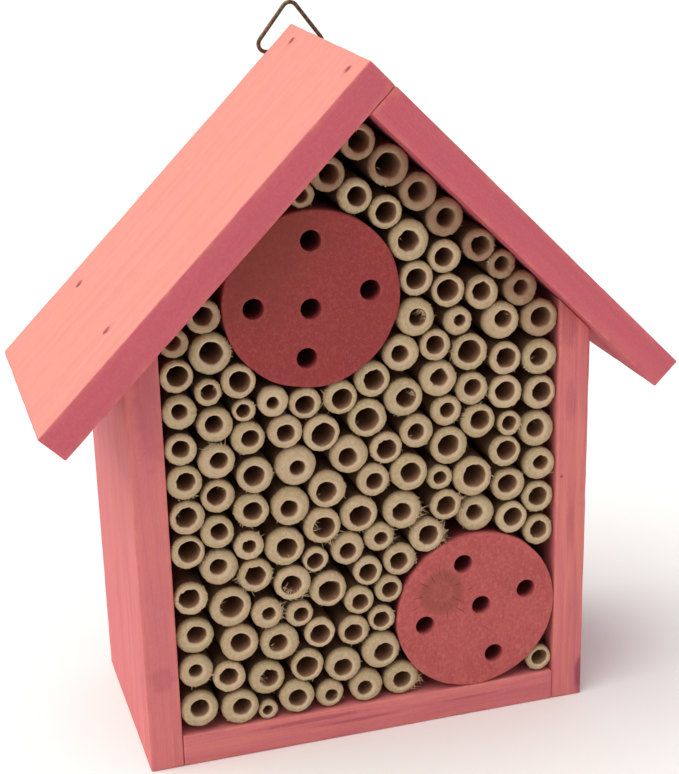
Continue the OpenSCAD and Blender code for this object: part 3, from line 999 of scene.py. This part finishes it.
def slice_mesh(node, pith, brown, cracks, seed, look):
    """A drilled slice: a finely meshed sawn face, rounded rims, hole walls and a plain back."""
    middle, outer, holes, front, back, floor_y = drilled_holes(node)
    rim = 0.14 * MM
    lines = drying_cracks(pith, brown, middle, outer, cracks, seed)
    points, loops, edges, sunk = slice_plan(
        middle, outer - look.arris, holes, rim, lines, look.crack_w, seed
    )
    made, _, triangles, sources, _, _ = geometry.delaunay_2d_cdt(points, edges, [], 0, 1e-7)
    came_from = {old: number for number, origin in enumerate(sources) for old in origin}
    shape = bmesh.new()
    shape.verts.layers.float.new("arris")
    crack = shape.verts.layers.float.new("crack")
    verts = []
    for point in made:
        wave = noise.noise(Vector((point.x * 90, point.y * 90, seed))) * 0.05 * MM
        tool = noise.noise(Vector((point.x * 60, point.y * 700, seed))) * 0.02 * MM
        heart = (Vector(pith) - point).length / (brown * 1.2)
        dish = 0.12 * MM * max(0, 1 - heart * heart)
        verts.append(shape.verts.new((point.x, front + 0.1 * MM + wave + tool + dish, point.y)))
    for old, taper in sunk.items():
        vert = verts[came_from[old]]
        vert.co.y += look.crack_d * taper
        vert[crack] = taper
    rings = [[points[k] for k in loop] for loop in loops]
    for triangle in triangles:
        corner = sum((made[k] for k in triangle), Vector((0, 0))) / 3
        if encloses(rings[0], corner) and not any(encloses(ring, corner) for ring in rings[1:]):
            shape.faces.new([verts[k] for k in triangle])
    ring, *hole_rings = [[verts[came_from[k]] for k in loop] for loop in loops]
    stations = rim_stations(front, outer, look.arris, -1, 30, 60, 88)
    side_y = [front + run * MM for run in (2, 8, 30)] + [back]
    stations += [(outer * 0.9985, y, 0.0) for y in side_y]
    shape.faces.new(run_back(shape, ring, middle, stations, seed))
    for ring, (centre, radius) in zip(hole_rings, holes):
        stations = rim_stations(front, radius, rim, 1, 35, 65, 90)
        bore_y = [front + run * MM for run in (1, 3, 9, 25)] + [floor_y]
        stations += [(radius, y, 0.0) for y in bore_y]
        end = run_back(shape, ring, centre, stations, seed)
        tip = shape.verts.new((centre[0], floor_y + radius * 0.5, centre[1]))
        for one, other in zip(end, end[1:] + end[:1]):
            shape.faces.new([one, other, tip])
    bmesh.ops.recalc_face_normals(shape, faces=shape.faces)
    return as_mesh(shape, node)


class INSECT_HOTEL_OT_logs(bpy.types.Operator):
    """Make the two drilled log slices"""

    bl_idname = "insect_hotel.logs"
    bl_label = "Log slices"

    def execute(self, context):
        look = context.scene.hotel_logs
        for name, (node, pith, stain, brown, shaded, flecked, cracks, seed) in LOGS.items():
            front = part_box(node)[0].y
            material = stained_end_grain(
                name + "_stain", pith, getattr(look, stain), brown, shaded, flecked, seed, front
            )
            mesh = slice_mesh(node, pith, brown, cracks, seed, look)
            finished(name, mesh, material, "log_stain", node)
        return {"FINISHED"}


# ---- reeds ----

REED_SIDES = 56


def reed_stations():
    """A tube's section as (share across the wall, depth as a share of the wall, share of length)."""
    look = bpy.context.scene.hotel_reeds
    quarter = [math.radians(15 * step) for step in range(7)]
    outside = [(1, look.dome, along) for along in (1, 0.5, 0.16, 0.05, 0.015)]
    dome = [
        (look.crest + (1 - look.crest) * max(0, math.cos(a)) ** 0.85, look.dome * (1 - math.sin(a)), 0)
        for a in quarter
    ]
    lip = [(look.crest * (1 - math.sin(a)), look.lip * (1 - math.cos(a)), 0) for a in quarter[2::2]]
    inside = [(0, look.lip, along) for along in (0.015, 0.05, 0.14, 0.4, 1)]
    return outside + dome + lip + inside


def reed_blank():
    """One tube as a bare net of quads that carries its place on the section and round the tube."""
    stations = reed_stations()
    turns = [math.tau * side / REED_SIDES for side in range(REED_SIDES)]
    points = [(side * MM, row * MM, 0) for row in range(len(stations)) for side in range(REED_SIDES)]
    wall, deep, along = np.repeat(np.array(stations, float), REED_SIDES, axis=0).T
    layers = {"turn": turns * len(stations), "wall": wall, "deep": deep, "along": along}
    return from_points("reed_blank", points, (), net(len(stations), REED_SIDES, True), layers)


def reed_tree():
    """Sets a tube on every point and shapes it by the point's own radius, bore, ends and seed."""
    tree, given, out = geometry_group("Reed Bundle", [
        ("Tube", "Object", None), ("Ovality", "Float", 0.0), ("Bore Ovality", "Float", 0.0),
    ])
    words = ("turn", "wall", "deep", "along", "outer", "bore", "seed", "ragged", "front", "rear")
    turn, wall, deep, along, outer, bore, seed, ragged, front, rear = (
        read(tree, word) for word in words
    )
    cosine, sine = calc("COSINE", turn), calc("SINE", turn)
    around = combine(cosine, sine, 0)

    def round_noise(scale, detail, shift):
        """Noise about nothing that closes on itself round the tube."""
        return lump(around, scale, detail, 0.6, w=seed + shift) - 0.5

    near_cut = 1 - ramp(along, 0.0, 0.06)
    near_bore = 1 - ramp(wall, 0.0, 0.8)
    thickness = outer - bore
    swell = calc("ABSOLUTE", round_noise(0.9, 1, 0)) * given["Ovality"]
    pinch = round_noise(0.95, 1, 31) * given["Bore Ovality"] + 1
    torn = round_noise(2.2, 1.5, 47) * ragged * near_cut
    bore_r = calc("MINIMUM", bore * (pinch + torn), thickness * 0.55 + bore)
    spread = add(tree, "ShaderNodeMix", {0: wall, 2: bore_r, 3: outer * (1 - swell * 2)})
    nibble = calc("ABSOLUTE", round_noise(9, 3, 13)) * near_cut * (wall * (1.4 * MM))
    radius = calc("MINIMUM", spread - nibble, outer)
    drift = thickness * ((1 - wall) * 0.20)
    x = radius * cosine + (read(tree, "centre_x") + calc("SINE", seed * 2.1) * drift)
    z = radius * sine + (read(tree, "centre_z") + calc("COSINE", seed * 3.7) * drift)
    rise = round_noise(2.4, 3, 5) * MM + calc("SINE", turn + seed) * (radius * 0.05)
    lifted = (rise + torn * near_bore * (2.2 * MM)) * near_cut
    face_y = deep * thickness + front
    run = add(tree, "ShaderNodeMix", {0: along, 2: face_y, 3: rear})
    shaped = moved(tree, on_points(tree, given, "Tube"), "Position", combine(x, run + lifted, z))
    lining = calc("LESS_THAN", wall, 0.01) * ramp(deep, 0.0, 0.3)
    stored = {"across": wall, "sink": along * (rear - face_y), "lining": lining}
    for word, value in stored.items():
        shaped = add(
            tree, "GeometryNodeStoreNamedAttribute",
            {"Geometry": shaped, "Name": word, "Value": value}, data_type="FLOAT", domain="POINT",
        )
    return ended(tree, given, out, shaped)


def reed_points(node, first_seed):
    """One point per tube of a CAD column, with its middle, radii, ends and seed; also its facts."""
    shape = merged(node)
    facts = []
    for island in islands(shape):
        low, high = island.min(0), island.max(0)
        centre = (low + high) / 2
        reach = np.hypot(island[:, 0] - centre[0], island[:, 2] - centre[2])
        facts.append((centre[0], centre[2], reach.max(), reach.min(), low[1], high[1]))
    shape.free()
    facts.sort(key=lambda fact: (round(fact[1], 4), fact[0]))
    return [(*fact, first_seed + number * 1.7) for number, fact in enumerate(facts)]


class INSECT_HOTEL_OT_reeds(bpy.types.Operator):
    """Make the bundle of cut reed tubes, one piece for each column"""

    bl_idname = "insect_hotel.reeds"
    bl_label = "Reed tubes"

    def execute(self, context):
        look = context.scene.hotel_reeds
        tree = reed_tree()
        blank = reed_blank()
        material = cut_reed()
        random = np.random.default_rng(4)
        columns = sorted(name for name in frame["nodes"] if name.startswith("tube_column"))
        low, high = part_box("wall_right")
        apex = low.x + high.z
        for number, node in enumerate(columns):
            facts = reed_points(node, 10.0 * number)
            REEDS.extend(facts)
            names = ("centre_x", "centre_z", "outer", "bore", "front", "rear", "seed")
            layers = dict(zip(names, zip(*facts)))
            # Painted shade: faces close under the roof get darker and browner, less so on the left
            gaps = np.array([apex - z - abs(x) - outer * math.sqrt(2) for x, z, outer, *_ in facts])
            side = np.array([1.0 if x > -12 * MM else 0.6 for x, *_ in facts])
            layers["shade_under_roof"] = np.clip(1 - gaps / (7 * MM), 0, 1) * side
            layers["tone"] = random.uniform(0, 1, len(facts))
            layers["ragged"] = 0.04 + 0.45 * random.uniform(0, 1, len(facts)) ** 6
            places = [(x, front, z) for x, z, _, _, front, _, _ in facts]
            source = from_points(node + "_points", places, layers=layers)
            made = grown(source, tree, {
                "Tube": blank, "Ovality": look.ovality, "Bore Ovality": look.bore_ovality,
                "Material": material,
            })
            finished(node.replace("tube_column", "reeds"), made, material, "reed", node)
        discard(blank)
        return {"FINISHED"}


# ---- frayed fibres ----

# Where the saw left bores frayed and rims fringed, as (x, z) in millimetres
FRAYED_BORES = [(-43, 49), (-24.5, 53), (-15.5, 71), (-33, 24), (12, 107), (15.5, 131)]
FRAYED_RIMS = [
    (17, 70), (24, 64), (-19, 50), (-27, 45), (-35, 72), (16, 15), (28, 10), (20, 62),
    (-12, 66), (33, 100), (-40, 55), (30, 72), (8, 66), (-45, 100), (-12, 110), (28, 120),
]


def fibre_tree():
    """Grows a thin tapering fibre from every point, along the point's own direction and bend."""
    tree, given, out = geometry_group(
        "Fibres", [("Fibre", "Object", None), ("Thickness", "Float", 0.1 * MM)]
    )
    along, angle, girth = (read(tree, word) for word in ("along", "angle", "girth"))
    root, ahead, bend = (read(tree, word, "FLOAT_VECTOR") for word in ("root", "ahead", "bend"))
    half = given["Thickness"] * (0.5 - along * 0.42) * girth
    side = vector_calc("NORMALIZE", vector_calc("CROSS_PRODUCT", ahead, (0.31, 0.17, 0.93)))
    over = vector_calc("NORMALIZE", vector_calc("CROSS_PRODUCT", ahead, side))
    place = root
    for way, run in (
        (ahead, along), (bend, along * along), (side, calc("COSINE", angle) * half),
        (over, calc("SINE", angle) * half),
    ):
        place = vector_calc("ADD", place, vector_calc("SCALE", way, Scale=run))
    return ended(tree, given, out, moved(tree, on_points(tree, given, "Fibre"), "Position", place))


def fibre_blank(sides=4, steps=4):
    """A bare closed prism that carries how far along and round it each point is."""
    rows = range(steps + 1)
    points = [(side * MM, step * MM, 0) for step in rows for side in range(sides)]
    layers = {
        "along": [step / steps for step in rows for _ in range(sides)],
        "angle": [math.tau * side / sides for _ in rows for side in range(sides)],
    }
    caps = [tuple(range(sides))[::-1], tuple(range(steps * sides, (steps + 1) * sides))]
    return from_points("fibre_blank", points, (), caps + net(steps + 1, sides), layers)


def fibre_roots():
    """Root, direction, bend and girth of every fibre, from the tubes that stand nearest."""
    random = np.random.default_rng(12)
    dome = bpy.context.scene.hotel_reeds.dome
    fibres = []

    def fringe(reed, at_bore, count, size, middle=None, stout=1.0):
        """Adds fibres to one tube's bore or to its outer rim, near one direction if given."""
        x, z, outer, bore, front, _, _ = reed
        for _ in range(count):
            angle = random.uniform(0, math.tau) if middle is None else random.normal(middle, 0.45)
            way = np.array([math.cos(angle), 0, math.sin(angle)])
            around = np.array([-way[2], 0, way[0]]) * random.normal(0, 0.6)
            wall = outer - bore
            if at_bore:
                reach, back = bore * 1.05, 0.4 * MM
                ahead = -way * random.uniform(0.5, 1.5) + around + [0, random.uniform(-0.5, 0.4), 0]
            else:
                reach, back = outer - wall * random.uniform(0.06, 0.22), wall * dome * 0.5
                ahead = way * random.uniform(0.2, 1.0) + around + [0, random.uniform(-0.9, 0.1), 0]
            root = np.array([x, front + back, z]) + way * reach
            bend = random.normal(0, 0.35, 3) * size
            girth = random.uniform(0.5, 1.2) * (1 + size / (2 * MM)) * stout
            fibres.append((root, ahead * random.uniform(0.5, 1.3) * size, bend, girth))

    for reed in REEDS:
        fringe(reed, False, int(random.integers(6, 16)), 0.45 * MM)
        if random.uniform() < 0.5:
            fringe(reed, False, int(random.integers(4, 12)), 0.6 * MM, random.uniform(0, math.tau), 2.2)
        if random.uniform() < 0.3:
            fringe(reed, True, int(random.integers(1, 4)), 0.7 * MM)
    wanted = [(place, True, 9) for place in FRAYED_BORES] + [(place, False, 20) for place in FRAYED_RIMS]
    for place, at_bore, count in wanted:
        spot = np.array(place) * MM
        reed = min(REEDS, key=lambda r: math.hypot(r[0] - spot[0], r[1] - spot[1]))
        towards = math.atan2(spot[1] - reed[1], spot[0] - reed[0])
        fringe(reed, at_bore, count, 1.6 * MM, towards)
    return fibres


class INSECT_HOTEL_OT_fibres(bpy.types.Operator):
    """Fray the cut ends of the reeds with loose fibres"""

    bl_idname = "insect_hotel.fibres"
    bl_label = "Frayed fibres"

    def execute(self, context):
        look = context.scene.hotel_reeds
        layers = dict(zip(("root", "ahead", "bend", "girth"), zip(*fibre_roots())))
        source = from_points("fibre_points", [tuple(root) for root in layers["root"]], layers=layers)
        blank, material = fibre_blank(), frayed_fibre()
        made = grown(source, fibre_tree(), {
            "Fibre": blank, "Thickness": look.fibre_d, "Material": material,
        })
        discard(blank)
        finished("reed_fibres", made, material, "reed")
        return {"FINISHED"}


# ---- fixings and hanger ----


class INSECT_HOTEL_OT_fixings(bpy.types.Operator):
    """Give the brads and pins their dull rusted steel"""

    bl_idname = "insect_hotel.fixings"
    bl_label = "Brads and pins"

    def execute(self, context):
        steel = aged_metal("rusted_steel", STEEL, WORN_STEEL, 0.5, 0.8)
        for node in ("ridge_brads", "eave_brads_left", "eave_brads_right", "floor_pins"):
            slots = frame["nodes"][node].data.materials
            slots.clear()
            slots.append(steel)
        return {"FINISHED"}


def wire_path(bend):
    """The wire triangle's middle line from one butted end to the other, read from its CAD node."""
    low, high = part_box("hanger_ring")
    bar = Vector(frame["joints"][0]["pos_m"])
    wire_r = bar.z - low.z
    rise = Vector((0, high.y + low.y - 2 * bar.y, high.z - low.z - 2 * wire_r)).normalized()
    height = (high.z - bar.z - wire_r) / rise.z
    corner_x = high.x - wire_r - bend
    corners = [Vector((corner_x, bend)), Vector((0, height - bend)), Vector((-corner_x, bend))]
    leg = math.atan2(height - 2 * bend, corner_x)
    turns = [(-90, 90 - math.degrees(leg)), (90 - math.degrees(leg), 90 + math.degrees(leg)),
             (90 + math.degrees(leg), 270)]
    flat = [Vector((0.2 * MM, 0))]
    for corner, (start, end) in zip(corners, turns):
        for step in range(13):
            angle = math.radians(start + (end - start) * step / 12)
            flat.append(corner + bend * Vector((math.cos(angle), math.sin(angle))))
    flat.append(Vector((-0.2 * MM, 0)))
    return [bar + Vector((point.x, 0, 0)) + rise * point.y for point in flat], wire_r


def wire_tree():
    """Sweeps a round wire along a line of points, with faint hammer marks."""
    tree, given, out = geometry_group("Bent Wire", [
        ("Radius", "Float", 0.5 * MM), ("Sides", "Int", 20), ("Marks", "Float", 0.0),
    ])
    line = add(tree, "GeometryNodeMeshToCurve", {0: given["Geometry"]})
    fine = add(
        tree, "GeometryNodeResampleCurve", {"Curve": line, "Length": 0.4 * MM}, mode="LENGTH"
    )
    ring = add(tree, "GeometryNodeCurvePrimitiveCircle", {
        "Resolution": given["Sides"], "Radius": given["Radius"],
    })
    swept = add(tree, "GeometryNodeCurveToMesh", {
        "Curve": fine, "Profile Curve": ring, "Fill Caps": True,
    })
    marks = lump(add(tree, "GeometryNodeInputPosition"), 900, 2) * (given["Marks"] * -1)
    return ended(tree, given, out, pushed(tree, swept, marks))


class INSECT_HOTEL_OT_hanger(bpy.types.Operator):
    """Make the wire triangle, its folded strap and the strap's screw"""

    bl_idname = "insect_hotel.hanger"
    bl_label = "Hanger"

    def execute(self, context):
        look = context.scene.hotel_hanger
        bronze = aged_metal("antique_bronze", look.bronze, look.worn, 0.34, 0.12)
        for name, node, arris in (
            ("folded_strap", "hanger_strap", look.arris),
            ("strap_screw", "hanger_screw", look.arris / 2),
        ):
            shape = merged(node)
            eased(shape, arris, 2, 0.5, 35, 0)
            finished(name, as_mesh(shape, node), bronze, "hanger_bronze", node)
        points, wire_r = wire_path(look.bend)
        links = [(k, k + 1) for k in range(len(points) - 1)]
        source = from_points("wire_points", points, links)
        made = grown(source, wire_tree(), {
            "Radius": wire_r, "Sides": 20, "Marks": 0.03 * MM, "Material": bronze,
        })
        piece = linked("wire_triangle", made)
        smoothed(made)
        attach(piece, "hanger_ring")
        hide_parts("hanger_ring")
        return {"FINISHED"}


# ---- stage ----

FLOOR_HALF = 12.0
STUDIO_TINT = (0.96, 0.98, 1.0, 1)
SUN_FROM, SUN_SPREAD, SUN_TINT = (-0.50, -0.05, 0.86), math.radians(70), (1.0, 0.95, 0.89)
SENSOR_MM = 36
LENS_SHIFT = (-0.1045, 0.0454)


def soft_sun(name, towards, strength, spread, tint):
    """A wide soft light from one direction, the same wherever the object stands."""
    lamp = bpy.data.lights.new(name, "SUN")
    lamp.angle = spread
    lamp.energy = strength
    lamp.color = tint
    made = bpy.data.objects.new(name, lamp)
    made.rotation_euler = Vector(towards).to_track_quat("Z", "Y").to_euler()
    bpy.context.scene.collection.objects.link(made)


class INSECT_HOTEL_OT_stage(bpy.types.Operator):
    """Set the floor, the soft lights and the camera"""

    bl_idname = "insect_hotel.stage"
    bl_label = "Stage"

    def execute(self, context):
        look = context.scene.hotel_stage
        corners = [(x * FLOOR_HALF, y * FLOOR_HALF, 0) for x, y in ((-1, -1), (1, -1), (1, 1), (-1, 1))]
        floor = from_points("floor", corners, (), [(0, 1, 2, 3)])

        def pale(tree, at):
            paler = [min(1, part * 1.02) for part in look.floor]
            tone = layered(look.floor, (ramp(lump(at, 3, 2), 0.3, 0.7), paler))
            return {"Base Color": tone, "Roughness": 0.9}, None

        floor.data.materials.append(surface("pale_floor", pale))
        world = bpy.data.worlds.new("studio")
        world.use_nodes = True
        back = world.node_tree.nodes["Background"]
        back.inputs["Color"].default_value = STUDIO_TINT
        seen = add(world.node_tree, "ShaderNodeLightPath", result="Is Camera Ray")
        feed(back.inputs["Strength"], ramp(seen, 0, 1, look.sky, 1.0, False))
        context.scene.world = world
        soft_sun("key", SUN_FROM, look.sun, SUN_SPREAD, SUN_TINT)
        context.scene.view_settings.view_transform = "Standard"
        context.scene.view_settings.look = "None"

        lens = bpy.data.cameras.new("camera")
        lens.lens = look.lens
        lens.sensor_width = SENSOR_MM
        lens.shift_x, lens.shift_y = LENS_SHIFT
        lens.clip_start = 0.01
        camera = bpy.data.objects.new("camera", lens)
        context.scene.collection.objects.link(camera)
        level = math.cos(look.tilt)
        ahead = Vector((math.sin(look.turn) * level, math.cos(look.turn) * level, -math.sin(look.tilt)))
        stance = ahead.to_track_quat("-Z", "Y").to_matrix() @ Matrix.Rotation(look.roll, 3, "Z")
        camera.matrix_world = Matrix.Translation(look.place) @ stance.to_4x4()
        context.scene.camera = camera
        return {"FINISHED"}


# ---- the add-on ----

REEDS = []
SHARED = {}
OPERATORS = (
    INSECT_HOTEL_OT_stage,
    INSECT_HOTEL_OT_boards,
    INSECT_HOTEL_OT_logs,
    INSECT_HOTEL_OT_reeds,
    INSECT_HOTEL_OT_fibres,
    INSECT_HOTEL_OT_fixings,
    INSECT_HOTEL_OT_hanger,
)


class INSECT_HOTEL_PT_panel(bpy.types.Panel):
    """Lists the settings and the steps that make the insect hotel"""

    bl_label = "Insect Hotel"
    bl_idname = "INSECT_HOTEL_PT_panel"
    bl_space_type = "VIEW_3D"
    bl_region_type = "UI"
    bl_category = "Insect Hotel"

    def draw(self, context):
        for name, group in SETTINGS.items():
            box = self.layout.box()
            box.label(text=group.__doc__)
            for key in group.__annotations__:
                box.prop(getattr(context.scene, name), key)
        for operator in OPERATORS:
            self.layout.operator(operator.bl_idname)


def register():
    """Adds the settings, the operators and the panel."""
    for group in SETTINGS.values():
        bpy.utils.register_class(group)
    for name, group in SETTINGS.items():
        setattr(bpy.types.Scene, name, bpy.props.PointerProperty(type=group))
    for operator in (*OPERATORS, INSECT_HOTEL_PT_panel):
        bpy.utils.register_class(operator)


def unregister():
    """Takes away what register added."""
    for operator in (*OPERATORS, INSECT_HOTEL_PT_panel):
        bpy.utils.unregister_class(operator)
    for name, group in SETTINGS.items():
        delattr(bpy.types.Scene, name)
        bpy.utils.unregister_class(group)


def main():
    register()
    SHARED["timber"] = timber_group()
    SHARED["specks"] = speck_group()
    for operator in OPERATORS:
        family, step = operator.bl_idname.split(".")
        getattr(getattr(bpy.ops, family), step)()


if __name__ == "__main__":
    main()
